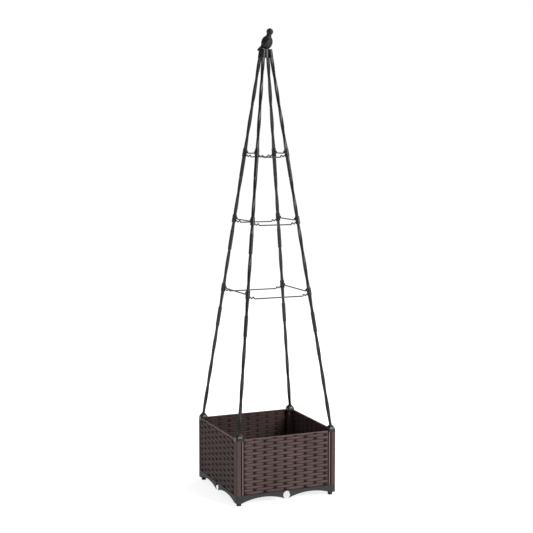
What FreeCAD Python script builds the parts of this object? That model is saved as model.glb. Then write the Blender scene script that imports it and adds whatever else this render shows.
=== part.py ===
import FreeCAD, Part
import Sketcher
import math
import os
import re

# A square rattan-look planter on a scalloped base, with a pyramid trellis of four twisted legs,
# three rings of clip-on rungs and a bird finial.
# Millimetres. The origin is on the ground under the middle, the front faces -Y, and +Z is up.
# Whatever repeats at a corner or on a side is built at the front left corner, or on the front,
# and turned about Z by quarter turns.

SIZES = {
    # corner posts and the square that they stand on
    "outer_width": 400.0,       # over the outer faces of the posts
    "corner_size": 31.0,        # side of the square of a post, cap and base corner
    "corner_round": 6.0,        # radius of the outer upright corners
    "post_top": 240.5,
    "post_wall": 2.4,
    "post_lip": 17.5,           # outer face of a post, from its corner to the panel
    "lip_web": 10.0,            # solid part behind the lip, from the corner
    # base frame, its scallops and its four open round notches
    "foot_height": 11.5,
    "foot_diameter": 18.0,
    "foot_shank_diameter": 10.0,
    "foot_shank_length": 18.0,
    "skirt_top": 39.5,
    "skirt_wall": 2.5,
    "arch_rise": 15.0,          # crown of a scallop above the bottom edge of the skirt
    "arch_inner": 10.0,         # from the middle of a side to the start of a scallop
    "arch_margin": 22.0,        # from the outer corner to the end of a scallop
    "notch_radius": 14.4,
    "notch_height": 23.6,       # centre of a notch above the ground
    "rim_wall": 2.8,            # the rim over a notch, which shows above the skirt
    "ledge_thickness": 3.0,     # level shelf inside the skirt, for the panels and the floor plate
    "ledge_width": 24.0,
    "guard_wall": 3.0,          # upright rib behind the panels
    "guard_height": 8.0,
    "rib_height": 6.0,
    "rib_spacing": 124.0,
    "rib_wall": 3.0,
    "foot_block": 25.0,         # side of the solid corner over a foot
    "tenon_height": 22.0,       # square tenon of a base corner, up inside its post
    # floor plate
    "floor_thickness": 2.5,
    "drain_diameter": 9.0,
    "drain_pitch": 80.0,
    "drain_rows": 4.0,
    # side panels
    "panel_top": 246.0,
    "flange_thickness": 3.0,
    "bead_width": 8.0,          # half-round upright bead between a post and the weave
    "bead_offset": 26.0,        # from the outer corner to the middle of the bead
    "weave_thickness": 8.0,
    "weave_inset": 0.8,         # outer crest of the weave behind the outer face of the posts
    "weave_margin": 32.0,       # from the outer corner to the weave
    "stake_pitch": 40.5,        # between two columns where strands dive, from the left edge on
    "strand_pitch": 10.46,      # height of a row of strands
    "rim_strand": 7.27,         # height of the low row along the top
    "strand_rise": 4.6,         # crest of a strand over the core of the panel
    "inner_rise": 1.8,          # the same on the inside
    "strand_slope": 14.0,       # length of its fall from the crest to a dive
    "strand_crest": 0.45,       # flat share of its height
    "strand_gap": 0.6,          # between two rows
    "dive_gap": 4.4,            # slot between two floats of a row
    "tab_spacing": 200.0,       # between the middles of the two tabs under a panel
    "tab_width": 40.0,
    "tab_length": 7.0,          # below the top of the ledge
    # caps
    "cap_band": 3.5,            # upright band, below the four facets
    "cap_facet_top": 12.5,      # top of the facets above the post
    "cap_shoulder": 28.2,       # side of the square at the top of the facets
    "cap_height": 25.5,
    "cap_neck": 13.0,
    "plug_length": 20.0,
    # legs of twisted square bar
    "leg_foot": 264.2,          # where a leg leaves its cap
    "leg_top": 1625.0,          # where it enters the finial hub
    "top_offset": 16.4,         # leg axis to the middle of the trellis at leg_top, along X and Y
    "bar_side": 10.1,
    "twist_pitch": 430.4,       # length of bar for one full turn
    "twist_start": 37.0,        # turn of the square at leg_foot, in degrees
    "joint_height_1": 613.0,    # lower edges of the sleeves
    "joint_height_2": 909.5,
    "joint_height_3": 1187.0,
    "sleeve_diameter": 14.6,
    "sleeve_length": 74.5,
    "spigot_diameter": 9.8,
    "spigot_length": 60.0,
    "end_spigot_length": 18.0,
    "hidden_spigot_diameter": 6.0,
    "hidden_spigot_length": 38.0,
    # rungs
    "ring_height_1": 748.5,     # lower edges of the clips on the front and back
    "ring_height_2": 1013.5,
    "ring_height_3": 1261.3,
    "clip_height": 14.6,
    "clip_wall": 1.3,
    "clip_mouth": 10.6,
    "rung_diameter": 4.6,
    "rung_drop": 1.5,           # straight part of a rung below the lower edge of its clips
    "kink_rise": 8.5,
    "kink_end": 26.5,           # from the leg axis to the straight part
    "kink_bend": 2.6,           # bend radius of the middle line
    # hub and bird
    "hub_height": 31.0,
    "socket_diameter": 15.4,
    "socket_depth": 20.0,
    "core_diameter": 30.0,
    "peg_diameter": 8.0,
    "peg_length": 12.0,
    "bird_length": 53.6,        # long axis of the body
    "bird_width": 43.0,
    "bird_offset": 5.5,         # middle of the body in front of the middle of the hub, along X
    "bird_lean": 17.0,          # of the long axis from upright, in degrees
    "head_diameter": 26.0,
    "tail_length": 31.0,
    # gaps between pieces that fit into each other
    "slide_gap": 0.1,
    "seat_gap": 0.2,
}

CORNERS = ("front_left", "front_right", "back_right", "back_left")
SIDES = ("front", "right", "back", "left")
JOINT_HEIGHTS = ("leg_foot", "joint_height_1", "joint_height_2", "joint_height_3", "leg_top")
RING_HEIGHTS = ("ring_height_1", "ring_height_2", "ring_height_3")
# The one joint that shows no sleeve: its spigot is slim and hidden inside the bars.
PLAIN_JOINT = ("front_right", 2)
BAR_STEP = 27.0                 # longest distance between two sections of a twisted bar
UP = FreeCAD.Vector(0, 0, 1)

doc = FreeCAD.newDocument("PlanterWithTrellis")
sheet = doc.addObject("Spreadsheet::Sheet", "Sizes")
for row, (alias, number) in enumerate(SIZES.items(), start=1):
    sheet.set("A%d" % row, alias)
    sheet.set("B%d" % row, str(number))
    sheet.setAlias("B%d" % row, alias)
doc.recompute()

nodes = []


def size(alias):
    return float(sheet.get(alias))


def formula(text):
    """Turns the names of sizes in a text into references to the sheet."""
    return re.sub(r"[a-z]\w*", lambda word: ("Sizes." if word[0] in SIZES else "") + word[0], str(text))


def bind(thing, **sizes):
    for name, text in sizes.items():
        thing.setExpression(name.replace("__", "."), formula(text))
    return thing


def move(thing, x, y, z):
    return bind(thing, Placement__Base__x=x, Placement__Base__y=y, Placement__Base__z=z)


def box(name, x, y, z):
    """A box from its lowest and highest x, y and z."""
    thing = doc.addObject("Part::Box", name)
    bind(thing, Length="(%s) - (%s)" % (x[1], x[0]), Width="(%s) - (%s)" % (y[1], y[0]))
    bind(thing, Height="(%s) - (%s)" % (z[1], z[0]))
    return move(thing, x[0], y[0], z[0])


def square(name, side, z, x="0", y="0"):
    """An upright square bar about the point x, y."""
    half = "(%s) / 2" % side
    return box(name, (x + " - " + half, x + " + " + half), (y + " - " + half, y + " + " + half), z)


def cylinder(name, diameter, height):
    thing = doc.addObject("Part::Cylinder", name)
    return bind(thing, Radius="(%s) / 2" % diameter, Height=height)


def join(name, *parts):
    thing = doc.addObject("Part::MultiFuse", name)
    thing.Shapes = list(parts)
    return thing


def cut(name, base, *tools):
    thing = doc.addObject("Part::Cut", name)
    thing.Base = base
    thing.Tool = tools[0] if len(tools) == 1 else join(name + "_tools", *tools)
    return thing


def overlap(name, first, second):
    thing = doc.addObject("Part::Common", name)
    thing.Base = first
    thing.Tool = second
    return thing


def round_uprights(name, base, radius):
    """Rounds the four upright edges of a box."""
    thing = doc.addObject("Part::Fillet", name)
    thing.Base = base
    thing.Edges = [(edge, radius, radius) for edge in (1, 3, 5, 7)]
    return thing


def turned(thing, count):
    """What was built at the front or the front left corner, some quarter turns further round."""
    holder = doc.addObject("Part::Compound", thing.Name + "_turned")
    holder.Links = [thing]
    holder.Placement = FreeCAD.Placement(FreeCAD.Vector(), FreeCAD.Rotation(UP, 90.0 * count))
    return holder


def keep(thing, label):
    """Names a finished piece and puts it on the list of pieces."""
    thing.Label = label
    if thing.Label != label:
        raise RuntimeError("%s is named twice" % label)
    nodes.append(thing)
    return thing


# ---------------------------------------------------------------- base and floor

HALF = "outer_width / 2"
POST_AXIS = "-(outer_width - corner_size) / 2"
FLANGE_FACE = "skirt_wall + slide_gap"
FLANGE_BACK = FLANGE_FACE + " + flange_thickness + slide_gap"
CORE_FACE = "weave_inset + strand_rise"
CORE_BACK = "weave_inset + weave_thickness - inner_rise"
GUARD_FACE = "weave_inset + weave_thickness + slide_gap"
CORE_SIDE = "(corner_size - 2 * (%s))" % FLANGE_BACK
BORE_SIDE = "(%s - 2 * post_wall)" % CORE_SIDE
LEDGE_LEVELS = ("skirt_top - ledge_thickness", "skirt_top")


def inset_ring(name, outer, inner, z):
    """A square ring between two distances behind the outer faces."""
    shell = square(name + "_out", "outer_width - 2 * (%s)" % outer, z)
    hole = square(name + "_in", "outer_width - 2 * (%s)" % inner, z)
    return cut(name, shell, hole)


def across_front(thing, x, z):
    """Lays a cylinder along Y, from the front face inwards."""
    thing.Placement.Rotation = FreeCAD.Rotation(FreeCAD.Vector(1, 0, 0), -90)
    return move(thing, x, "-" + HALF, z)


def on_all_sides(make):
    return [turned(make(side), count) for count, side in enumerate(SIDES)]


def at_all_corners(make):
    return [turned(make(corner), count) for count, corner in enumerate(CORNERS)]


def scallops(side):
    """The two round-topped cuts in the skirt of one side."""
    chord = "(%s - arch_margin - arch_inner)" % HALF
    diameter = "%s ^ 2 / (4 * arch_rise) + arch_rise" % chord
    pair = []
    for name, sign in (("_a", "-"), ("_b", "")):
        arch = cylinder("arch_" + side + name, diameter, "skirt_wall")
        middle = "%s(arch_inner + %s / 2)" % (sign, chord)
        pair.append(across_front(arch, middle, "foot_height + arch_rise - (%s) / 2" % diameter))
    return join("scallops_" + side, *pair)


def rim(side):
    """The half ring over a notch."""
    ring = cylinder("ring_" + side, "2 * (notch_radius + rim_wall)", GUARD_FACE)
    across_front(ring, "0", "notch_height")
    reach = "notch_radius + rim_wall"
    upper = box("above_" + side, ("-(%s)" % reach, reach), ("-" + HALF, "-%s + %s" % (HALF, GUARD_FACE)),
                ("notch_height", "notch_height + " + reach))
    return overlap("rim_" + side, ring, upper)


def notch(side):
    return across_front(cylinder("notch_" + side, "2 * notch_radius", "ledge_width"), "0", "notch_height")


def tabs(name, side, gap, z):
    """The two tabs under a panel, or with a gap round them their slots."""
    pair = []
    for end, sign in (("_a", "-"), ("_b", "")):
        middle = "%stab_spacing / 2" % sign
        x = tuple("%s %s (tab_width / 2 + %s)" % (middle, way, gap) for way in "-+")
        y = ("-%s + %s - %s" % (HALF, CORE_FACE, gap),
             "-%s + %s + flange_thickness + %s" % (HALF, CORE_FACE, gap))
        pair.append(box(name + side + end, x, y, z))
    return join(name + "pair_" + side, *pair)


def base_corner(corner):
    """Solid corner over a foot, with a tenon that goes up inside the post."""
    deck = square("deck_" + corner, "corner_size", LEDGE_LEVELS, POST_AXIS, POST_AXIS)
    near = ("-" + HALF, "-%s + foot_block" % HALF)
    block = box("block_" + corner, near, near, ("foot_height", "skirt_top"))
    tenon = square("tenon_" + corner, "%s - 2 * seat_gap" % BORE_SIDE,
                   ("skirt_top", "skirt_top + tenon_height"), POST_AXIS, POST_AXIS)
    return join("corner_" + corner, deck, block, tenon)


def foot_bore(corner):
    bore = cylinder("foot_bore_" + corner, "foot_shank_diameter + 2 * slide_gap",
                    "foot_shank_length + seat_gap")
    return move(bore, POST_AXIS, POST_AXIS, "foot_height")


def corner_room(name, corner, z):
    """The room that a post takes inside the frame."""
    return square(name + corner, "corner_size + 2 * seat_gap", z, POST_AXIS, POST_AXIS)


def ribs():
    """Two ribs each way under the floor plate."""
    reach = "%s - ledge_width" % HALF
    depth = ("skirt_top - rib_height", "skirt_top")
    bars = []
    for name, sign in (("low", "-"), ("high", "")):
        middle = "%srib_spacing / 2" % sign
        place = (middle + " - rib_wall / 2", middle + " + rib_wall / 2")
        bars.append(box("rib_x_" + name, place, ("-(%s)" % reach, reach), depth))
        bars.append(box("rib_y_" + name, ("-(%s)" % reach, reach), place, depth))
    return bars


def base_frame():
    skirt = inset_ring("skirt", "0", "skirt_wall", ("foot_height", "skirt_top"))
    scalloped = cut("scalloped_skirt", skirt, *on_all_sides(scallops))
    ledge = inset_ring("ledge", "skirt_wall", "ledge_width", LEDGE_LEVELS)
    slots = on_all_sides(lambda side: tabs("slot_", side, "slide_gap", LEDGE_LEVELS))
    levels = ("skirt_top", "skirt_top + guard_height")
    guard = inset_ring("guard", GUARD_FACE, GUARD_FACE + " + guard_wall", levels)
    rooms = at_all_corners(lambda corner: corner_room("guard_room_", corner, levels))
    slotted = cut("slotted_ledge", ledge, *slots)
    guards = cut("guards", guard, *rooms)
    whole = join("frame_whole", scalloped, slotted, guards,
                 *(at_all_corners(base_corner) + on_all_sides(rim) + ribs()))
    open_frame = cut("frame_open", whole, *(on_all_sides(notch) + at_all_corners(foot_bore)))
    outline = square("outline", "outer_width", ("0", "skirt_top + tenon_height + guard_height"))
    rounded = round_uprights("outline_rounded", outline, size("corner_round"))
    keep(overlap("base_frame", open_frame, rounded), "base_frame")


def floor_plate():
    reach = "%s - (%s) - guard_wall - seat_gap" % (HALF, GUARD_FACE)
    levels = ("skirt_top", "skirt_top + floor_thickness")
    plate = box("plate", ("-(%s)" % reach, reach), ("-(%s)" % reach, reach), levels)
    cutters = at_all_corners(lambda corner: corner_room("floor_room_", corner, levels))
    rows = int(size("drain_rows"))
    for column in range(rows):
        for line in range(rows):
            drain = cylinder("drain_%d_%d" % (column, line), "drain_diameter", "floor_thickness")
            x = "drain_pitch * %s" % (column - (rows - 1) / 2)
            y = "drain_pitch * %s" % (line - (rows - 1) / 2)
            cutters.append(move(drain, x, y, "skirt_top"))
    keep(cut("floor_plate", plate, *cutters), "floor_plate")


def foot(corner):
    disc = move(cylinder("disc_" + corner, "foot_diameter", "foot_height"), POST_AXIS, POST_AXIS, "0")
    shank = cylinder("shank_" + corner, "foot_shank_diameter", "foot_height + foot_shank_length")
    return join("foot_solid_" + corner, disc, move(shank, POST_AXIS, POST_AXIS, "0"))


# ---------------------------------------------------------------- posts, panels and caps

def post(corner):
    """A hollow square post whose two outer lips cover the edges of the panels."""
    span = ("skirt_top", "post_top")
    edge = "-" + HALF
    lip = (edge, edge + " + post_lip")
    wall = (edge, edge + " + skirt_wall")
    web = (edge, edge + " + lip_web")
    lips = [box("lip_x_" + corner, lip, wall, span), box("lip_y_" + corner, wall, lip, span)]
    solid = box("web_" + corner, web, web, span)
    core = square("core_" + corner, CORE_SIDE, span, POST_AXIS, POST_AXIS)
    whole = join("post_whole_" + corner, solid, core, *lips)
    bore = square("post_bore_" + corner, BORE_SIDE, span, POST_AXIS, POST_AXIS)
    hollow = cut("post_hollow_" + corner, whole, bore)
    outline = square("post_outline_" + corner, "corner_size", span, POST_AXIS, POST_AXIS)
    rounded = round_uprights("post_rounded_" + corner, outline, size("corner_round"))
    return overlap("post_solid_" + corner, hollow, rounded)


WEAVE_REACH = "(%s - weave_margin)" % HALF
PANEL_FLOOR = "skirt_top + seat_gap"
ROW_HEIGHT = "(strand_pitch - strand_gap)"
RIM_HEIGHT = "(rim_strand - strand_gap / 2)"


def pillow(name, x, slopes, height, outside):
    """One visible float of a strand, between two dives or from a dive to the edge of the weave."""
    thing = doc.addObject("Part::Wedge", name)
    bind(thing, Xmin=x[0], Xmax=x[1], Ymin="0", Ymax="strand_rise" if outside else "inner_rise")
    bind(thing, X2min="%s + %s" % (x[0], slopes[0]), X2max="%s - %s" % (x[1], slopes[1]))
    bind(thing, Zmin="-%s / 2" % height, Zmax="%s / 2" % height)
    bind(thing, Z2min="-strand_crest * %s / 2" % height, Z2max="strand_crest * %s / 2" % height)
    if outside:
        thing.Placement.Rotation = FreeCAD.Rotation(FreeCAD.Vector(1, 0, 0), 180)
    return move(thing, "0", "-%s + %s" % (HALF, CORE_FACE if outside else CORE_BACK), "0")


def floats(name, first, height, outside):
    """The floats of a row on one face: strands dive at the stake first and at every second one."""
    span = 2 * (size("outer_width") / 2 - size("weave_margin"))
    last = int((span - size("dive_gap")) / size("stake_pitch"))
    dives = list(range(first, last + 1, 2))
    pieces = []
    for number, (low, high) in enumerate(zip([None] + dives, dives + [None])):
        if low is None and high == 0:
            continue
        left, right = "-" + WEAVE_REACH, WEAVE_REACH
        if low is not None:
            left = "(-%s + %d * stake_pitch + dive_gap / 2)" % (WEAVE_REACH, low)
        if high is not None:
            right = "(-%s + %d * stake_pitch - dive_gap / 2)" % (WEAVE_REACH, high)
        slope = "min(strand_slope, 0.4 * (%s - %s))" % (right, left)
        slopes = tuple("0" if end is None else slope for end in (low, high))
        pieces.append(pillow("%s_%d" % (name, number), (left, right), slopes, height, outside))
    return pieces


def row_of_strands(name, first, height):
    """Both faces of a row: where a strand dives outside, it shows inside."""
    thing = doc.addObject("Part::Compound", name)
    thing.Links = (floats(name + "_out", first, height, True)
                   + floats(name + "_in", 1 - first, height, False))
    return thing


def placed_row(row, name, z):
    thing = doc.addObject("Part::Compound", name)
    thing.Links = [row]
    return bind(thing, Placement__Base__z=z)


def weave():
    """The rows of strands on both faces of the core."""
    room = size("panel_top") - size("rim_strand") - size("skirt_top") - size("seat_gap")
    kinds = [row_of_strands("row_%d" % first, first, ROW_HEIGHT) for first in (0, 1)]
    rim_row = row_of_strands("row_rim", 1, RIM_HEIGHT)
    rows = [placed_row(rim_row, "rim_strands", "panel_top - %s / 2" % RIM_HEIGHT)]
    for line in range(int(room / size("strand_pitch"))):
        middle = "panel_top - rim_strand - strand_pitch * %s" % (line + 0.5)
        rows.append(placed_row(kinds[line % 2], "strands_%d" % line, middle))
    return rows


def flange(name, sign):
    """The plain strip beside the weave that slides into a post, with its bead."""
    ends = (WEAVE_REACH, "%s - lip_web - seat_gap" % HALF)
    x = ends if sign == "" else tuple("-(%s)" % end for end in reversed(ends))
    face = "-%s + %s" % (HALF, FLANGE_FACE)
    levels = (PANEL_FLOOR, "post_top - seat_gap")
    strip = box("strip_" + name, x, (face, face + " + flange_thickness"), levels)
    bead = cylinder("bead_" + name, "bead_width", "post_top - skirt_top - 2 * seat_gap")
    bead.Angle = 180
    bead.Placement.Rotation = FreeCAD.Rotation(UP, 180)
    middle = "-%s + weave_inset + bead_width / 2" % HALF
    return [strip, move(bead, "%s(%s - bead_offset)" % (sign, HALF), middle, PANEL_FLOOR)]


def panel():
    """A side: the core with its strands, a sill over two tabs for the base, and two flanges."""
    faces = ("-%s + %s" % (HALF, CORE_FACE), "-%s + %s" % (HALF, CORE_BACK))
    core_reach = "(%s + flange_thickness)" % WEAVE_REACH
    core = box("core", ("-" + core_reach, core_reach), faces, (PANEL_FLOOR, "post_top - seat_gap"))
    rim_core = box("rim_core", ("-" + WEAVE_REACH, WEAVE_REACH), faces, (PANEL_FLOOR, "panel_top"))
    sill = box("sill", ("-" + WEAVE_REACH, WEAVE_REACH),
               (faces[0], "-%s + weave_inset + weave_thickness" % HALF),
               (PANEL_FLOOR, "skirt_top + guard_height"))
    feet = tabs("tab_", "panel", "0", ("skirt_top - tab_length", PANEL_FLOOR))
    rows = weave()
    gap = cylinder("panel_gap", "2 * (notch_radius + rim_wall + seat_gap)", GUARD_FACE)
    across_front(gap, "0", "notch_height")
    low = cut("panel_low", join("panel_low_whole", core, rim_core, sill, feet, rows[-1]), gap)
    return join("panel_solid", low, *(flange("left", "-") + flange("right", "") + rows[:-1]))


def plane_of(body, role):
    return next(plane for plane in body.Origin.OriginFeatures if plane.Role == role)


SKETCH_HALF = 10.0              # a sketch is drawn at this size, before its constraints set the real one
SKETCH_BEND = 3.0


def rounded_square(body, name, side, radius, height):
    """A sketch of a square with round corners about the post axis, at a height above the post."""
    sketch = body.newObject("Sketcher::SketchObject", name)
    sketch.AttachmentSupport = (plane_of(body, "XY_Plane"), [""])
    sketch.MapMode = "FlatFace"
    bind(sketch, AttachmentOffset__Base__z=height)
    half = SKETCH_HALF
    bend = SKETCH_BEND
    flat = half - bend
    for turn in range(4):
        spin = FreeCAD.Rotation(UP, 90.0 * turn)
        start = spin.multVec(FreeCAD.Vector(-flat, -half, 0))
        end = spin.multVec(FreeCAD.Vector(flat, -half, 0))
        sketch.addGeometry(Part.LineSegment(start, end), False)
        centre = spin.multVec(FreeCAD.Vector(flat, -flat, 0))
        circle = Part.Circle(centre, UP, bend)
        first = math.radians(90.0 * (turn - 1))
        sketch.addGeometry(Part.ArcOfCircle(circle, first, first + math.pi / 2), False)
    return constrain_rounded_square(sketch, side, radius)


def constrain_rounded_square(sketch, side, radius):
    rule = Sketcher.Constraint
    lines = (0, 2, 4, 6)
    for line in lines:
        sketch.addConstraint(rule("Tangent", line, 2, line + 1, 1))
        sketch.addConstraint(rule("Tangent", line + 1, 2, (line + 2) % 8, 1))
        sketch.addConstraint(rule("Horizontal" if line % 4 == 0 else "Vertical", line))
    for arc in (3, 5, 7):
        sketch.addConstraint(rule("Equal", 1, arc))
    sketch.addConstraint(rule("Equal", 0, 2))
    sketch.addConstraint(rule("Symmetric", 0, 1, 4, 1, -1, 1))
    for name, constraint, text in (("side", rule("DistanceY", 0, 2, 4, 1, 2 * SKETCH_HALF), side),
                                   ("bend", rule("Radius", 1, SKETCH_BEND), radius)):
        index = sketch.addConstraint(constraint)
        sketch.renameConstraint(index, name)
        sketch.setExpression("Constraints." + name, formula(text))
    return sketch


def cap_body(corner):
    """Domed cap: a plug for the post, an upright band and a dome up to the neck."""
    body = doc.addObject("PartDesign::Body", "cap_body_" + corner)
    bend = "corner_round"
    taper = "cap_neck + %s * (cap_shoulder - cap_neck)"
    roof = "cap_facet_top + %s * (cap_height - cap_facet_top)"
    shapes = (("foot", "corner_size", bend, "0"),
              ("band", "corner_size", bend, "cap_band"),
              ("shoulder", "cap_shoulder", bend, "cap_facet_top"),
              ("slope", taper % 0.72, bend, roof % 0.38),
              ("crown", taper % 0.32, bend, roof % 0.70),
              ("neck", "cap_neck", "cap_neck / 2 - 0.5", "cap_height"))
    first, *rest = [rounded_square(body, name + "_" + corner, *values) for name, *values in shapes]
    dome = body.newObject("PartDesign::AdditiveLoft", "dome_" + corner)
    dome.Profile = first
    dome.Sections = rest
    dome.Ruled = True
    plug = rounded_square(body, "plug_" + corner, "%s - 2 * seat_gap" % BORE_SIDE, "1", "0")
    pad = body.newObject("PartDesign::Pad", "plug_pad_" + corner)
    pad.Profile = plug
    pad.Reversed = True
    bind(pad, Length="plug_length")
    return move(body, POST_AXIS, POST_AXIS, "post_top")


# ---------------------------------------------------------------- legs

def slope():
    """How far a leg leans inwards along X, and as far along Y, for each millimetre of height."""
    foot_offset = (size("outer_width") - size("corner_size")) / 2
    return (foot_offset - size("top_offset")) / (size("leg_top") - size("leg_foot"))


def leg_direction():
    return FreeCAD.Vector(slope(), slope(), 1.0).normalize()


def along_leg(height):
    """Distance along the leg axis from its foot up to a height."""
    return (height - size("leg_foot")) / leg_direction().z


def leg_point(distance):
    """A point on the axis of the front left leg."""
    foot_offset = (size("outer_width") - size("corner_size")) / 2
    foot_point = FreeCAD.Vector(-foot_offset, -foot_offset, size("leg_foot"))
    return foot_point + leg_direction() * distance


def on_leg(thing, distance):
    """Stands a piece that was built along +Z on the front left leg."""
    turn = FreeCAD.Rotation(UP, leg_direction())
    thing.Placement = FreeCAD.Placement(leg_point(distance), turn)
    return thing


def twisted_bar(name, start, length, first):
    """Square bar from first to length, twisted by its place on the leg."""
    steps = math.ceil((length - first) / BAR_STEP)
    sections = []
    for step in range(steps + 1):
        height = first + (length - first) * step / steps
        section = doc.addObject("Part::RegularPolygon", "%s_section_%d" % (name, step))
        section.Polygon = 4
        bind(section, Circumradius="bar_side / sqrt(2)")
        angle = size("twist_start") - 360.0 * (start + height) / size("twist_pitch")
        turn = FreeCAD.Rotation(UP, angle)
        section.Placement = FreeCAD.Placement(FreeCAD.Vector(0, 0, height), turn)
        sections.append(section)
    bar = doc.addObject("Part::Loft", name)
    bar.Sections = sections
    bar.Solid = True
    bar.Ruled = False
    return bar


def spigot(name, diameter, length, base):
    pin = cylinder(name, diameter, length)
    pin.Placement.Base = FreeCAD.Vector(0, 0, base)
    return pin


def lower_end(name, plain):
    """What a rod has below: the sleeve over the rod beneath, or a slim hole inside the bar."""
    if plain:
        return [], cylinder(name + "_bore", "hidden_spigot_diameter + 2 * slide_gap",
                            "hidden_spigot_length + seat_gap")
    sleeve = cylinder(name + "_sleeve", "sleeve_diameter", "sleeve_length")
    bore = cylinder(name + "_bore", "spigot_diameter + 2 * slide_gap", "spigot_length + seat_gap")
    return [sleeve], bore


def rod(corner, number):
    """One of the four rods of a leg, counted from the cap."""
    name = "rod_%d_%s" % (number, corner)
    start = along_leg(size(JOINT_HEIGHTS[number - 1]))
    length = along_leg(size(JOINT_HEIGHTS[number])) - start
    plain_below = (corner, number - 1) == PLAIN_JOINT
    plain_above = (corner, number) == PLAIN_JOINT
    has_sleeve = number > 1 and not plain_below
    bar = twisted_bar(name + "_bar", start, length, size("sleeve_length") if has_sleeve else 0.0)
    if number == len(JOINT_HEIGHTS) - 1:
        top_pin = spigot(name + "_top", "spigot_diameter", "end_spigot_length", length)
    elif plain_above:
        top_pin = spigot(name + "_top", "hidden_spigot_diameter", "hidden_spigot_length", length)
    else:
        top_pin = spigot(name + "_top", "spigot_diameter", "spigot_length", length)
    if number == 1:
        low_end = -size("end_spigot_length")
        bottom_pin = spigot(name + "_low", "spigot_diameter", "end_spigot_length", low_end)
        whole = join(name + "_whole", bar, top_pin, bottom_pin)
    else:
        extra, bore = lower_end(name, plain_below)
        whole = cut(name + "_whole", join(name + "_solid", bar, top_pin, *extra), bore)
    return keep(turned(on_leg(whole, start), CORNERS.index(corner)), name)


def cap(corner):
    """The domed cap with the tilted socket of its leg."""
    neck = cylinder("neck_" + corner, "cap_neck", "end_spigot_length / 2")
    on_leg(neck, -size("end_spigot_length") / 2)
    bore = cylinder("socket_" + corner, "spigot_diameter + 2 * slide_gap", "2 * end_spigot_length")
    on_leg(bore, -size("end_spigot_length") - size("seat_gap"))
    clear = cylinder("seat_" + corner, "2 * sleeve_diameter", "sleeve_diameter")
    on_leg(clear, 0.0)
    whole = join("cap_whole_" + corner, cap_body(corner), neck)
    return cut("cap_solid_" + corner, whole, bore, clear)


# ---------------------------------------------------------------- rungs

def bend_wire(points, radius):
    """A wire through the points whose inner corners are arcs."""
    edges = []
    last = points[0]
    for before, corner, after in zip(points, points[1:], points[2:]):
        inward = (before - corner).normalize()
        onward = (after - corner).normalize()
        half_turn = (math.pi - inward.getAngle(onward)) / 2
        reach = radius * math.tan(half_turn)
        middle = (inward + onward).normalize() * (radius / math.cos(half_turn) - radius)
        start = corner + inward * reach
        end = corner + onward * reach
        edges.append(Part.makeLine(last, start))
        edges.append(Part.Arc(start, corner + middle, end).toShape())
        last = end
    edges.append(Part.makeLine(last, points[-1]))
    return Part.Wire(edges)


# The kink of a rung after its clip, in shares of kink_end outwards and of kink_rise up.
KINK = ((0.40, 0.80), (0.585, 0.05), (0.885, 1.0), (1.0, 0.0))


def rung_line(clip_offset, height):
    """Middle line of a rung: straight, with a double kink before each clip."""
    clip_edge = clip_radius() - size("clip_wall") / 2
    half = [(clip_edge, KINK[0][1] * size("kink_rise"))]
    half += [(out * size("kink_end"), up * size("kink_rise")) for out, up in KINK]
    left = [FreeCAD.Vector(-clip_offset + d, -clip_offset, height + up) for d, up in half]
    right = [FreeCAD.Vector(-point.x, point.y, point.z) for point in reversed(left)]
    return bend_wire(left + right, size("kink_bend"))


def clip_radius():
    return size("bar_side") / math.sqrt(2) + size("slide_gap") + size("clip_wall")


def clip(name, start):
    """An open clip round the front left leg, with its mouth towards the inside."""
    bore_size = "sqrt(2) * bar_side + 2 * slide_gap"
    ring = cylinder(name + "_ring", bore_size + " + 2 * clip_wall", "clip_height")
    bore = cylinder(name + "_bore", bore_size, "clip_height")
    mouth = box(name + "_mouth", ("-clip_mouth / 2", "clip_mouth / 2"), ("0", "bar_side * 2"),
                ("0", "clip_height"))
    return on_leg(cut(name, ring, bore, mouth), start)


def rung(ring, side):
    """A rung between two legs; those on the left and right sit one clip higher."""
    name = "rung_%d_%s" % (ring, side)
    start = along_leg(size(RING_HEIGHTS[ring - 1]))
    if SIDES.index(side) % 2:
        start += size("clip_height") + size("seat_gap")
    middle = leg_point(start + size("clip_height") / 2)
    spine = doc.addObject("Part::Feature", name + "_line")
    spine.Shape = rung_line(-middle.x, leg_point(start).z - size("rung_drop"))
    profile = doc.addObject("Part::Circle", name + "_section")
    bind(profile, Radius="rung_diameter / 2")
    profile.Placement = FreeCAD.Placement(spine.Shape.Vertexes[0].Point,
                                          FreeCAD.Rotation(UP, FreeCAD.Vector(1, 0, 0)))
    wire = doc.addObject("Part::Sweep", name + "_wire")
    wire.Sections = [profile]
    wire.Spine = (spine, ["Edge%d" % (n + 1) for n in range(len(spine.Shape.Edges))])
    wire.Solid = True
    left = clip(name + "_left_clip", start)
    right = doc.addObject("Part::Mirroring", name + "_right_clip")
    right.Source = left
    right.Normal = FreeCAD.Vector(1, 0, 0)
    whole = join(name + "_whole", wire, left, right)
    return keep(turned(whole, SIDES.index(side)), name)


# ---------------------------------------------------------------- hub and bird

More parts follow.
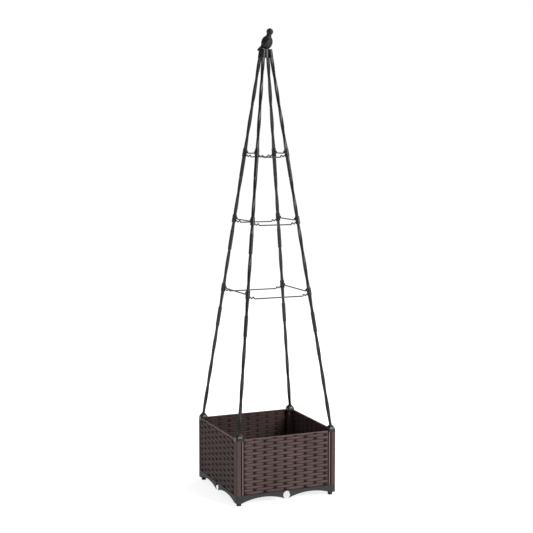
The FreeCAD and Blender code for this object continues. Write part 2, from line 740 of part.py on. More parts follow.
def hub():
    """Four sockets round a core, cut level on top, with a hole for the peg of the bird."""
    top = size("leg_top")
    start = along_leg(top)
    sockets = []
    bores = []
    for count, corner in enumerate(CORNERS):
        socket = cylinder("hub_socket_" + corner, "socket_diameter", "hub_height + socket_diameter")
        bore = cylinder("hub_bore_" + corner, "spigot_diameter + 2 * slide_gap", "socket_depth")
        sockets.append(turned(on_leg(socket, start), count))
        bores.append(turned(on_leg(bore, start), count))
    core = cylinder("hub_core", "core_diameter", "hub_height + socket_diameter")
    move(core, "0", "0", "leg_top + slide_gap")
    level = square("hub_level", "outer_width", ("leg_top - socket_diameter", "leg_top + hub_height"))
    whole = overlap("hub_whole", join("hub_solid", core, *sockets), level)
    hole = move(cylinder("hub_hole", "peg_diameter + 2 * slide_gap", "peg_length + seat_gap"),
                "0", "0", "leg_top + hub_height - peg_length - seat_gap")
    keep(cut("hub", whole, hole, *bores), "hub")


def ball(name, radii, centre, lean):
    """An ellipsoid: radii along its own long axis, along the lean and across it."""
    thing = doc.addObject("Part::Ellipsoid", name)
    thing.Angle1 = -90
    thing.Angle2 = 90
    thing.Angle3 = 360
    bind(thing, Radius1=radii[0], Radius2=radii[1], Radius3=radii[2])
    thing.Placement = FreeCAD.Placement(centre, FreeCAD.Rotation(FreeCAD.Vector(0, 1, 0), lean))
    return thing


# Directions of the beak and of the tail, and places along the bird in shares of half its body.
BEAK_HEADING = FreeCAD.Vector(0.35, 1, -0.12)
TAIL_HEADING = FreeCAD.Vector(-1, 0, -0.75)
NECK_ROOT = 0.35
TAIL_ROOT = FreeCAD.Vector(-0.22, 0, -0.42)
HEAD_REACH = 0.55               # of the head's diameter, from the end of the body


def bird():
    """A perching bird: body, neck, head, beak, tail and the peg that holds it in the hub."""
    lean = size("bird_lean")
    across = FreeCAD.Vector(0, 1, 0)
    turn = FreeCAD.Rotation(across, lean)
    half = size("bird_length") / 2
    perch = size("leg_top") + size("hub_height")
    centre = FreeCAD.Vector(size("bird_offset"), 0, perch + half * math.cos(math.radians(lean)))

    def on_body(place):
        return centre + turn.multVec(place)

    body = ball("bird_body", ("bird_length / 2", "bird_width / 2", "0.46 * bird_width"), centre, lean)
    head_reach = half + HEAD_REACH * size("head_diameter")
    head_place = on_body(UP * head_reach)
    head = ball("bird_head", ("head_diameter / 2",) * 3, head_place, 0)
    neck = doc.addObject("Part::Cone", "bird_neck")
    bind(neck, Radius1="0.37 * bird_width", Radius2="0.36 * head_diameter")
    neck.Height = head_reach - NECK_ROOT * half
    neck.Placement = FreeCAD.Placement(on_body(UP * NECK_ROOT * half), turn)
    beak = doc.addObject("Part::Cone", "bird_beak")
    bind(beak, Radius1="0.2 * head_diameter", Radius2="0.02 * head_diameter", Height="0.75 * head_diameter")
    beak.Placement = FreeCAD.Placement(head_place, FreeCAD.Rotation(UP, BEAK_HEADING))
    tail = doc.addObject("Part::Wedge", "bird_tail")
    bind(tail, Xmin="-0.22 * bird_width", Xmax="0.22 * bird_width", Ymin=0, Ymax="tail_length")
    bind(tail, Zmin="-0.13 * bird_width", Zmax="0.1 * bird_width")
    bind(tail, X2min="-0.24 * bird_width", X2max="0.24 * bird_width")
    bind(tail, Z2min="-0.09 * bird_width", Z2max="0.05 * bird_width")
    facing = FreeCAD.Rotation(across, TAIL_HEADING, TAIL_HEADING.cross(across), "YXZ")
    tail.Placement = FreeCAD.Placement(on_body(TAIL_ROOT * half), facing)
    peg = move(cylinder("bird_peg", "peg_diameter", "peg_length + bird_width / 2"),
               "0", "0", "leg_top + hub_height - peg_length")
    solid = join("bird_solid", body, neck, head, beak, tail)
    keep(join("bird_finial", cut("bird_above", solid, hub_room()), peg), "bird_finial")


def hub_room():
    """The room of the hub below the bird, which its tail reaches past."""
    reach = "top_offset + socket_diameter / 2 + seat_gap"
    return box("bird_level", ("-(%s)" % reach, reach), ("-(%s)" % reach, reach),
               ("leg_top", "leg_top + hub_height"))


# ---------------------------------------------------------------- the whole

base_frame()
floor_plate()
for name, make in (("foot_", foot), ("post_", post), ("cap_", cap)):
    for corner, thing in zip(CORNERS, at_all_corners(make)):
        keep(thing, name + corner)
whole_panel = panel()
for count, side in enumerate(SIDES):
    keep(turned(whole_panel, count), "panel_" + side)
for corner in CORNERS:
    for number in range(1, len(JOINT_HEIGHTS)):
        rod(corner, number)
for ring in range(1, len(RING_HEIGHTS) + 1):
    for side in SIDES:
        rung(ring, side)
hub()
bird()
doc.recompute()

for thing in doc.Objects:
    if {"Invalid", "Error"} & set(thing.State):
        raise RuntimeError("%s could not be built: %s" % (thing.Name, thing.State))
for piece in nodes:
    if piece.Shape.isNull() or not piece.Shape.isValid() or len(piece.Shape.Solids) != 1:
        raise RuntimeError("%s is not one valid solid" % piece.Label)

os.makedirs("parts", exist_ok=True)
for piece in nodes:
    piece.Shape.exportStep(os.path.join("parts", piece.Label + ".step"))
print("%d pieces written" % len(nodes))
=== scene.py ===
"""A square rattan-look planter on a scalloped base, with a pyramid trellis and a bird finial.

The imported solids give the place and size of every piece. The woven panels, the twisted rods and
the bird are modelled here in full, and stand for their plain solids. The other pieces are the
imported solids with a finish. Lengths are in metres, apart from the tables of the bird.
"""

import math

import bmesh
import bpy
from mathutils import Matrix, Vector

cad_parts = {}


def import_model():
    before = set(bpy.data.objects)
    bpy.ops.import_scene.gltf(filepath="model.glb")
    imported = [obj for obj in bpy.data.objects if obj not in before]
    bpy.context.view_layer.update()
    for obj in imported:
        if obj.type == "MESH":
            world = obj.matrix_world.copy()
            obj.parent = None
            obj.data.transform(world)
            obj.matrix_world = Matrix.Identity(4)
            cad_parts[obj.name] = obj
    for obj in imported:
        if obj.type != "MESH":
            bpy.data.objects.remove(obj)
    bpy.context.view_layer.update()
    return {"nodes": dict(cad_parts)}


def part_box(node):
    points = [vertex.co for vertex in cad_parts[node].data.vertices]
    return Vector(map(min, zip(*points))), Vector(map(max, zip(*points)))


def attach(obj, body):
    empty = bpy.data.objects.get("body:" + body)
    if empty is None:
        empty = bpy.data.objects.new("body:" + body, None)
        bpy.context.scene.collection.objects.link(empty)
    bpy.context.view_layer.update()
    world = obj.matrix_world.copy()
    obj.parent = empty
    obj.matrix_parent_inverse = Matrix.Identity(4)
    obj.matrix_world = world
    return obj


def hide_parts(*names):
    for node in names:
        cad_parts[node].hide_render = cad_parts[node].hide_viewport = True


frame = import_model()

MM = 0.001
UP = Vector((0, 0, 1))
CORNERS = ("front_left", "front_right", "back_right", "back_left")
SIDES = ("front", "right", "back", "left")

# ---------------------------------------------------------------- sizes from the frame

HALF_WIDTH = -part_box("base_frame")[0].x
CAP_LOW, CAP_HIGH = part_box("cap_front_left")
CORNER_SIZE = CAP_HIGH.x - CAP_LOW.x
POST_AXIS = HALF_WIDTH - CORNER_SIZE / 2
POST_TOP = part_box("post_front_left")[1].z
PANEL_LOW, PANEL_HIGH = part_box("panel_front")
WEAVE_FACE = PANEL_LOW.y
WEAVE_THICKNESS = PANEL_HIGH.y - PANEL_LOW.y
FLANGE_REACH = PANEL_HIGH.x

# ---------------------------------------------------------------- sizes of the woven panels

WEAVE_REACH = 168.0 * MM         # half the width of the woven field
STAKE_PITCH = 40.5 * MM          # between two columns where strands dive, from the left edge on
ROW_PITCH = 10.46 * MM
RIM_HEIGHT = 7.27 * MM           # of the low row along the top
ROWS = 19                        # below the rim
OUTER_RISE = 4.6 * MM            # crest of a strand in front of its dive, seen from outside
INNER_RISE = 1.8 * MM
STRAND_BOW = 0.10                # share of the rise that is spread over the whole float
SLOT_DROP = 0.22                 # share of the rise that is an upright wall of the slot
STRAND_FALL = 13.0 * MM          # from the middle of a slot to where a float is level
STRAND_SWELL = 0.7 * MM          # extra half height at the crest, taken from the rows beside it
RIM_SWELL = 0.2 * MM
LIP_HEIGHT = 1.3 * MM            # of the plain edge along the top of a panel
LIP_INSETS = (0.5 * MM, 0.3 * MM)    # of that edge, behind the outer and before the inner face
LIP_HIGHLIGHT = 0.3                 # strength of the painted highlight along its outer side
OUTER_CROWN = 2.2 * MM           # fall of the face from the middle of a strand to its edges
INNER_CROWN = 0.9 * MM
OUTER_CROWN_SHARE = 0.7          # most of a strand's thickness that its crown may take
INNER_CROWN_SHARE = 0.2
CROWN_POWER = 2.4                # a high power keeps the middle of a strand level
STRAND_GAP = 0.3 * MM            # dark line between two rows
SLOT_HALF = 1.6 * MM             # half the width of the slot where a strand dives
SLOT_EDGE = 0.6 * MM             # width of the wall of a slot, and of the painted shade on its lip
LIP_STATIONS = (0, 1, 2, 4)      # places beside a slot, in widths of its wall
FLOAT_STATIONS = 8               # even steps from one stake to the next
ACROSS = (-1.0, -0.88, -0.62, -0.3, 0.0, 0.3, 0.62, 0.88, 1.0)   # from edge to edge of a strand
CORE_DEPTHS = (4.7 * MM, 6.0 * MM)   # stakes and backing, behind the crests
CORE_DROP = 2.5 * MM             # of the core below the top of the panel
FLANGE_DEPTH = 2.6 * MM          # of the plain strip beside the weave, behind the outer face
FLANGE_THICKNESS = 3.0 * MM
FLANGE_DROP = 0.3 * MM           # of the strip and its bead below the top of the posts
OVERLAP = 1.0 * MM               # by which neighbouring forms of one piece run into each other
BEAD_RADIUS = 2.7 * MM
BEAD_OFFSET = 25.5 * MM          # from the outer corner to the middle of the bead
BEAD_POINTS = 13                 # over half its girth
BEAD_HIGHLIGHT_REACH = 3                    # points from its crest to where its painted highlight ends

# ---------------------------------------------------------------- painted shade of the weave, 0 to 1

SLOT_SHADE = 0.88                # in a slot, seen from outside
FALL_SHADE = 0.66                # at the falling end of a strand
EDGE_SHADE = (0.62, 5)           # along the edges of a strand; a high power keeps them narrow
CORNER_SHADE = (0.8, 3)          # the same, before a slot of the inside
INSIDE_SHADE = 0.36              # painted shade over the whole inside, which makes it duller and darker; these come on top
INSIDE_SLOT_SHADE = 0.4
INSIDE_FALL_SHADE = 0.25
INSIDE_EDGE_SHADE = (0.3, 6)
# painted shade on the core of stakes and backing, and on the plain strips beside the weave
CORE_SHADE = 0.9
FLANGE_SHADE = 0.85

# ---------------------------------------------------------------- sizes of the trellis

LEG_FOOT = 264.2 * MM            # heights on the axis of a leg
LEG_TOP = 1625.0 * MM
TOP_OFFSET = 16.4 * MM           # of that axis from the middle of the hub, along X and along Y
BAR_SIDE = 10.1 * MM
BAR_ROUND = 0.9 * MM
BAR_CORNER_POINTS = 3
TWIST_PITCH = 430.4 * MM
TWIST_START = 78.0               # degrees at the foot of a leg
TWIST_STEP = 7.0 * MM            # longest step between two sections of a bar
JOINTS = (LEG_FOOT, 613.0 * MM, 909.5 * MM, 1187.0 * MM, LEG_TOP)    # heights where rods meet
PLAIN_JOINT = ("front_right", 2)     # leg and rod below the one joint that has no sleeve
BUTT_OVERLAP = 0.5 * MM          # by which a rod without a sleeve runs into the part below
SLEEVE_RADIUS = 7.3 * MM
SLEEVE_LENGTH = 74.5 * MM
SLEEVE_EDGE = 0.7 * MM
SLEEVE_POINTS = 28

# ---------------------------------------------------------------- sizes of the bird, in millimetres

BIRD_LEAN = 17.0                 # degrees of the body from upright
BODY_PLACE = Vector((5.5, 0, 1681.6))
BODY_FLATNESS = 0.92             # of its radius along Y, as a share of the other
BODY_RADIUS = 21.6
BODY_PROFILE = ((-26.6, 2.5), (-25.5, 7.0), (-22.5, 12.0), (-17, 16.8), (-9, 20.6),
                (-1, BODY_RADIUS), (7, 20.8), (14, 18.0), (19, 14.4), (22.5, 11.0), (25.5, 9.6),
                (29, 11.0))      # (distance along the leaning axis, radius)
HEAD_PLACE = Vector((16.9, 0, 1720.4))
HEAD_RADII = (12.7, 12.9, 13.0)  # along X, Y and Z
HEAD_ANGLES = range(-84, 85, 12)     # degrees of its rings, from the lowest to the highest
BEAK_PROFILE = ((9.0, 4.6), (12.5, 3.4), (16.0, 2.1), (18.6, 0.9))   # (distance, radius)
BEAK_FLATNESS = 0.8
BEAK_POINTS = 12
TAIL_PROFILE = ((-4, 1669, 9.4, 9.0), (-12, 1665, 9.0, 7.4), (-20, 1660, 8.6, 5.6),
                (-26, 1655.5, 8.0, 4.6),
                (-31, 1651.5, 7.0, 3.2))     # (x, z, half width, half depth)
TAIL_DIRECTION = (-1, 0, -0.68)
WING_PROFILE = ((15, 0.5, 2.5, 1.2), (11, 0.0, 7.0, 2.4), (4, -1.5, 10.5, 3.0),
                (-5, -4.0, 10.0, 3.0), (-14, -8.0, 7.2, 2.6), (-21, -12.5, 4.0, 1.8),
                (-25, -16, 1.5, 0.8))    # (distance along the axis, drift, half width, half depth)
WING_REACH = 28.0                # half length of the body's round, on which the wings lie
WING_SINK = 1.0                  # of a wing into the body
WING_POINTS = 16
PEG_RADIUS = 3.9
PEG_HEIGHTS = (1645.0, 1664.0)
LUMP_POINTS = 24                 # in each ring of the body, head, tail and peg


# ---------------------------------------------------------------- small helpers

def quarter_turns(count):
    return Matrix.Rotation(math.pi / 2 * count, 4, "Z")


def full_turn(points):
    """Even angles round a circle."""
    return [2 * math.pi * k / points for k in range(points)]


def clamp(value):
    return max(0.0, min(1.0, value))


def loft(bm, rings):
    """Joins rings of as many points each with quads, closes the two ends and returns the points."""
    made = [[bm.verts.new(point) for point in ring] for ring in rings]
    for low, high in zip(made, made[1:]):
        count = len(low)
        for k in range(count):
            bm.faces.new((low[k], low[(k + 1) % count], high[(k + 1) % count], high[k]))
    bm.faces.new(list(reversed(made[0])))
    bm.faces.new(made[-1])
    return made


def piece(name, bm, material, stands_for, smooth_angle=35.0):
    """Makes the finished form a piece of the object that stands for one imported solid."""
    bmesh.ops.recalc_face_normals(bm, faces=bm.faces)
    mesh = bpy.data.meshes.new(name)
    bm.to_mesh(mesh)
    bm.free()
    mesh.shade_smooth()
    mesh.set_sharp_from_angle(angle=math.radians(smooth_angle))
    thing = bpy.data.objects.new(name, mesh)
    bpy.context.scene.collection.objects.link(thing)
    mesh.materials.append(material)
    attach(thing, "root")
    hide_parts(stands_for)
    return thing


# ---------------------------------------------------------------- materials

def new_material(name, colour, roughness):
    material = bpy.data.materials.new(name)
    material.use_nodes = True
    shader = material.node_tree.nodes["Principled BSDF"]
    shader.inputs["Base Color"].default_value = (*colour, 1)
    shader.inputs["Roughness"].default_value = roughness
    return material, shader


def add(material, kind, **values):
    """Adds a node and sets its plain inputs and properties by name."""
    node = material.node_tree.nodes.new(kind)
    for name, value in values.items():
        if name in node.inputs:
            node.inputs[name].default_value = value
        else:
            setattr(node, name, value)
    return node


def link(material, source, target):
    material.node_tree.links.new(source, target)


def blend(material, fac, colour, over):
    """A colour that goes over to another, plain one where fac is high."""
    factor, first, second, result = 0, 6, 7, 2      # the colour sockets of the node, by number
    node = add(material, "ShaderNodeMix", data_type="RGBA")
    node.inputs[second].default_value = (*over, 1)
    link(material, fac, node.inputs[factor])
    link(material, colour, node.inputs[first])
    return node.outputs[result]


def noise(material, scale, stretch=(1, 1, 1), detail=3.0):
    """Noise in the space of the object, stretched along the axes."""
    place = add(material, "ShaderNodeTexCoord")
    mapping = add(material, "ShaderNodeMapping", Scale=stretch)
    texture = add(material, "ShaderNodeTexNoise", Scale=scale, Detail=detail)
    link(material, place.outputs["Object"], mapping.inputs["Vector"])
    link(material, mapping.outputs["Vector"], texture.inputs["Vector"])
    return texture.outputs["Fac"]


def ramp(material, fac, stops):
    """A colour ramp between two stops of (position, colour)."""
    node = add(material, "ShaderNodeValToRGB")
    for element, (position, colour) in zip(node.color_ramp.elements, stops):
        element.position = position
        element.color = (*colour, 1)
    link(material, fac, node.inputs["Fac"])
    return node.outputs["Color"]


def scaled(colour, factor):
    return tuple(channel * factor for channel in colour)


def bump(material, shader, height, strength, distance):
    node = add(material, "ShaderNodeBump", Strength=strength, Distance=distance)
    link(material, height, node.inputs["Height"])
    link(material, node.outputs["Normal"], shader.inputs["Normal"])


def vary_roughness(material, shader, fac, low, high):
    node = add(material, "ShaderNodeMapRange")
    node.inputs["To Min"].default_value = low
    node.inputs["To Max"].default_value = high
    link(material, fac, node.inputs["Value"])
    link(material, node.outputs["Result"], shader.inputs["Roughness"])


BROWN = (0.126, 0.086, 0.082)
# Pale tan of the painted highlight on the crest of the bead and the outer side of the lip.
HIGHLIGHT_BROWN = (0.36, 0.27, 0.22)
POST_BROWN = (0.112, 0.079, 0.075)
BLACK = (0.0075, 0.0082, 0.0080)
BASE_BLACK = (0.025, 0.027, 0.027)
DARKEST_PAINTED_SHADE = 0.05             # colour of the weave's darkest painted shade, as a share of the brown
WORN_BLACK = 2.2                 # colour along worn edges, as a multiple of the black


def weave_plastic():
    """Moulded strands: brown with fine grain, painted shade where they dive and in recesses, and a
    painted highlight on the bead and lip.
    """
    material, shader = new_material("woven_brown_plastic", BROWN, roughness=0.42)
    shader.inputs["Specular IOR Level"].default_value = 0.03
    patches = noise(material, scale=9.0)
    colour = ramp(material, patches, ((0.3, scaled(BROWN, 0.86)), (0.7, scaled(BROWN, 1.12))))
    # Painted shade in slots, on falling ends, along edges, on the core and flanges and over the
    # inside.
    painted_shade = add(material, "ShaderNodeAttribute", attribute_name="painted_shade")
    colour = blend(material, painted_shade.outputs["Fac"], colour, scaled(BROWN, DARKEST_PAINTED_SHADE))
    # painted highlight on the crest of the bead and the outer side of the lip
    painted_highlight = add(material, "ShaderNodeAttribute", attribute_name="painted_highlight")
    colour = blend(material, painted_highlight.outputs["Fac"], colour, HIGHLIGHT_BROWN)
    link(material, colour, shader.inputs["Base Color"])
    grain = noise(material, scale=1.0, stretch=(30, 30, 900), detail=4.0)
    vary_roughness(material, shader, grain, low=0.34, high=0.52)
    bump(material, shader, grain, strength=0.35, distance=0.4 * MM)
    return material


def post_plastic():
    """The same brown plastic on the posts, with a faint upright grain."""
    material, shader = new_material("smooth_brown_plastic", POST_BROWN, roughness=0.40)
    shader.inputs["Specular IOR Level"].default_value = 0.04
    patches = noise(material, scale=14.0, stretch=(1, 1, 0.4))
    stops = ((0.3, scaled(POST_BROWN, 0.88)), (0.7, scaled(POST_BROWN, 1.08)))
    colour = ramp(material, patches, stops)
    link(material, colour, shader.inputs["Base Color"])
    grain = noise(material, scale=1.0, stretch=(700, 700, 30), detail=4.0)
    vary_roughness(material, shader, grain, low=0.34, high=0.50)
    bump(material, shader, grain, strength=0.2, distance=0.2 * MM)
    return material


def black_finish(name, colour, roughness, gloss, pebble):
    """A black finish: uneven gloss, a fine pebbled skin, and paler wear along the edges."""
    low, high = roughness
    material, shader = new_material(name, colour, roughness=(low + high) / 2)
    shader.inputs["Specular IOR Level"].default_value = gloss
    patches = noise(material, scale=22.0)
    base = ramp(material, patches, ((0.3, scaled(colour, 0.8)), (0.75, scaled(colour, 1.3))))
    edges = add(material, "ShaderNodeNewGeometry")
    worn = ramp(material, edges.outputs["Pointiness"], ((0.50, (0, 0, 0)), (0.60, (1, 1, 1))))
    wear = blend(material, worn, base, scaled(colour, WORN_BLACK))
    link(material, wear, shader.inputs["Base Color"])
    vary_roughness(material, shader, patches, low, high)
    skin = noise(material, scale=1200.0, detail=2.0)
    bump(material, shader, skin, strength=pebble, distance=0.1 * MM)
    return material


WEAVE = weave_plastic()
POST = post_plastic()
BASE = black_finish("base_black_plastic", BASE_BLACK, roughness=(0.42, 0.60), gloss=0.15,
                    pebble=0.5)
CAP = black_finish("cap_black_plastic", BLACK, roughness=(0.24, 0.36), gloss=0.4, pebble=0.15)
ROD = black_finish("rod_black_coating", BLACK, roughness=(0.26, 0.40), gloss=0.35, pebble=0.2)
CAST = black_finish("bird_black_casting", BLACK, roughness=(0.42, 0.58), gloss=0.28, pebble=0.4)


# ---------------------------------------------------------------- woven panels

def stations():
    """Places along a strand: even steps, and close steps at both lips of every slot."""
    places = {0.0, 2 * WEAVE_REACH}
    for stake in range(int(2 * WEAVE_REACH / STAKE_PITCH) + 1):
        middle = stake * STAKE_PITCH
        places.add(middle)
        for walls in LIP_STATIONS:
            away = SLOT_HALF + walls * SLOT_EDGE
            places.update((middle - away, middle + away))
        for step in range(1, FLOAT_STATIONS):
            places.add(middle + (step / FLOAT_STATIONS) * STAKE_PITCH)
    return sorted(place for place in places if 0.0 <= place <= 2 * WEAVE_REACH)


def wave(along, first):
    """For a row that dives at the given stake and at every second one from there: how far back
    its bow is, its share of the rise, and how far a place is into a falling end and a slot."""
    column = along / STAKE_PITCH
    back = (1 + math.cos(math.pi * (column - first))) / 2
    away = STAKE_PITCH * abs((column - first + 1) % 2 - 1)
    fall = clamp((STRAND_FALL - away) / (STRAND_FALL - SLOT_HALF))
    fall *= fall * (3 - 2 * fall)
    walls = (away - SLOT_HALF) / SLOT_EDGE
    dive = (STRAND_BOW * back + (1 - STRAND_BOW - SLOT_DROP) * fall
            + SLOT_DROP * clamp(1 - walls))
    return back, dive, fall, clamp(2 - walls)


def edge_shade(v, amount, power):
    """Painted shade that sets in towards the edges of a strand, where v is -1 and 1."""
    return amount * abs(v) ** power


def strand(bm, painted_shade, low, high, first, swell):
    """One strand of the front panel, with its steep dives and its swelling crests."""
    middle = (low + high) / 2
    rings = []
    shades = []
    for along in stations():
        back, outer_dive, outer_fall, outer_slot = wave(along, first)
        inner_dive, inner_fall, inner_slot = wave(along, 1 - first)[1:]
        outer = OUTER_RISE * outer_dive
        inner = WEAVE_THICKNESS - INNER_RISE * inner_dive
        outer_crown = min(OUTER_CROWN, OUTER_CROWN_SHARE * (inner - outer))
        inner_crown = min(INNER_CROWN, INNER_CROWN_SHARE * (inner - outer))
        half = (high - low) / 2 + swell * (1 - 2 * back) - STRAND_GAP / 2
        ring = []
        shade = []
        for v in ACROSS:
            ring.append((outer + outer_crown * abs(v) ** CROWN_POWER, v))
            # painted shade in the slot, on the falling end, along the edges, and at the edges
            # before a slot of the inside
            shade.append(max(SLOT_SHADE * outer_slot, FALL_SHADE * outer_fall,
                             edge_shade(v, *EDGE_SHADE),
                             inner_slot * edge_shade(v, *CORNER_SHADE)))
        for v in reversed(ACROSS):
            ring.append((inner - inner_crown * abs(v) ** CROWN_POWER, v))
            # painted shade over the whole inside, darker still at its slots, falling ends and edges
            shade.append(INSIDE_SHADE + max(INSIDE_SLOT_SHADE * inner_slot,
                                            INSIDE_FALL_SHADE * inner_fall,
                                            edge_shade(v, *INSIDE_EDGE_SHADE)))
        x = along - WEAVE_REACH
        rings.append([Vector((x, WEAVE_FACE + depth, middle + half * v)) for depth, v in ring])
        shades.append(shade)
    for ring, shade in zip(loft(bm, rings), shades):
        for vert, value in zip(ring, shade):
            vert[painted_shade] = value


def shaded_block(bm, painted_shade, low, high, value):
    """A closed box between two corners, whose points all have the same painted shade."""
    square = [(low[0], low[1]), (high[0], low[1]), (high[0], high[1]), (low[0], high[1])]
    rings = loft(bm, [[Vector((x, y, z)) for x, y in square] for z in (low[2], high[2])])
    made = [vert for ring in rings for vert in ring]
    for vert in made:
        vert[painted_shade] = value
    return made


def bead(bm, painted_highlight, middle, bottom, top):
    """The half-round upright strip between a post and the weave, with a painted highlight along its
    crest.
    """
    rings = []
    for z in (bottom, top):
        ring = []
        for k in range(BEAD_POINTS):
            turn = math.pi * k / (BEAD_POINTS - 1)
            y = WEAVE_FACE + BEAD_RADIUS * (1 - math.sin(turn))
            ring.append(Vector((middle - BEAD_RADIUS * math.cos(turn), y, z)))
        rings.append(ring)
    # painted highlight, strongest on the crest and fading towards both sides
    for ring in loft(bm, rings):
        for k, vert in enumerate(ring):
            vert[painted_highlight] = max(0.0, 1 - abs(k - BEAD_POINTS // 2) / BEAD_HIGHLIGHT_REACH)


def woven_panel(side):
    """A panel: its strands, rim, lip and core, and the plain strip and bead at both ends."""
    bm = bmesh.new()
    painted_shade = bm.verts.layers.float.new("painted_shade")
    painted_highlight = bm.verts.layers.float.new("painted_highlight")
    top = PANEL_HIGH.z
    strand(bm, painted_shade, top - RIM_HEIGHT, top - LIP_HEIGHT / 2, 1, RIM_SWELL)
    lip_front = WEAVE_FACE + LIP_INSETS[0]
    lip_back = WEAVE_FACE + WEAVE_THICKNESS - LIP_INSETS[1]
    for vert in shaded_block(bm, painted_shade, (-WEAVE_REACH, lip_front, top - LIP_HEIGHT),
                             (WEAVE_REACH, lip_back, top), 0.0):
        # painted highlight on the outer side of the lip
        vert[painted_highlight] = LIP_HIGHLIGHT if vert.co.y < (lip_front + lip_back) / 2 else 0.0
    for row in range(ROWS):
        high = top - RIM_HEIGHT - row * ROW_PITCH
        strand(bm, painted_shade, high - ROW_PITCH, high, row % 2, STRAND_SWELL)
    bottom = top - RIM_HEIGHT - ROWS * ROW_PITCH
    core_front, core_back = [WEAVE_FACE + depth for depth in CORE_DEPTHS]
    # the core of stakes and backing, with painted shade
    shaded_block(bm, painted_shade, (-WEAVE_REACH, core_front, bottom),
                 (WEAVE_REACH, core_back, top - CORE_DROP), CORE_SHADE)
    face = -HALF_WIDTH + FLANGE_DEPTH
    flange_top = POST_TOP - FLANGE_DROP
    flange_start = WEAVE_REACH - OVERLAP
    # plain strips beside the weave, with painted shade where they lie back
    for low, high in ((-FLANGE_REACH, -flange_start), (flange_start, FLANGE_REACH)):
        shaded_block(bm, painted_shade, (low, face, bottom),
                     (high, face + FLANGE_THICKNESS, flange_top), FLANGE_SHADE)
    for sign in (-1, 1):
        bead(bm, painted_highlight, sign * (HALF_WIDTH - BEAD_OFFSET), bottom, flange_top)
    bm.transform(quarter_turns(SIDES.index(side)))
    piece("woven_" + side, bm, WEAVE, "panel_" + side)


# ---------------------------------------------------------------- legs of twisted bar

LEAN = (POST_AXIS - TOP_OFFSET) / (LEG_TOP - LEG_FOOT)
LEG_DIRECTION = Vector((LEAN, LEAN, 1)).normalized()


def leg_frame(distance):
    """The place on the front left leg at a distance up its axis, with +Z along the leg."""
    foot = Vector((-POST_AXIS, -POST_AXIS, LEG_FOOT))
    turn = UP.rotation_difference(LEG_DIRECTION).to_matrix().to_4x4()
    return Matrix.Translation(foot + LEG_DIRECTION * distance) @ turn


def along_leg(height):
    """How far up the leg's axis a height is."""
    return (height - LEG_FOOT) / LEG_DIRECTION.z


def bar_ring(angle, height):
    """A section of the bar: a square with round corners, turned by an angle."""
    ring = []
    for quarter in range(4):
        diagonal = math.pi / 4 + math.pi / 2 * quarter
        reach = (BAR_SIDE / 2 - BAR_ROUND) * math.sqrt(2)
        centre = Vector((math.cos(diagonal), math.sin(diagonal), 0)) * reach
        for k in range(BAR_CORNER_POINTS):
            turn = math.pi / 2 * (quarter + k / (BAR_CORNER_POINTS - 1))
            point = centre + Vector((math.cos(turn), math.sin(turn), 0)) * BAR_ROUND
            ring.append(Matrix.Rotation(angle, 3, "Z") @ point + UP * height)
    return ring


def sleeve_ring(radius, height):
    return [Vector((radius * math.cos(turn), radius * math.sin(turn), height))
            for turn in full_turn(SLEEVE_POINTS)]


def twisted_rod(corner, number):
    """One rod: its twisted bar and, where it has one, the sleeve over the rod below."""
    start = along_leg(JOINTS[number - 1])
    length = along_leg(JOINTS[number]) - start
    has_sleeve = number > 1 and (corner, number - 1) != PLAIN_JOINT
    bm = bmesh.new()
    first = SLEEVE_LENGTH - OVERLAP if has_sleeve else -BUTT_OVERLAP
    steps = math.ceil((length - first) / TWIST_STEP)
    rings = []
    for step in range(steps + 1):
        height = first + (length - first) * step / steps
        angle = math.radians(TWIST_START) - 2 * math.pi * (start + height) / TWIST_PITCH
        rings.append(bar_ring(angle, height))
    loft(bm, rings)
    if has_sleeve:
        mouth = SLEEVE_RADIUS - SLEEVE_EDGE
        profile = ((mouth, 0), (SLEEVE_RADIUS, SLEEVE_EDGE),
                   (SLEEVE_RADIUS, SLEEVE_LENGTH - SLEEVE_EDGE), (mouth, SLEEVE_LENGTH))
        loft(bm, [sleeve_ring(radius, height) for radius, height in profile])
    bm.transform(quarter_turns(CORNERS.index(corner)) @ leg_frame(start))
    name = "rod_%d_%s" % (number, corner)
    piece("twisted_" + name, bm, ROD, name)


# ---------------------------------------------------------------- bird

def lump(bm, rings):
    """A closed smooth form through rings of (centre, direction, radius along Y, radius across)."""
    side = Vector((0, 1, 0))
    lofted = []
    for centre, direction, radius_y, radius_x in rings:
        across = side.cross(Vector(direction).normalized()).normalized()
        ring = []
        for turn in full_turn(LUMP_POINTS):
            point = side * (radius_y * math.cos(turn)) + across * (radius_x * math.sin(turn))
            ring.append((Vector(centre) + point) * MM)
        lofted.append(ring)
    loft(bm, lofted)


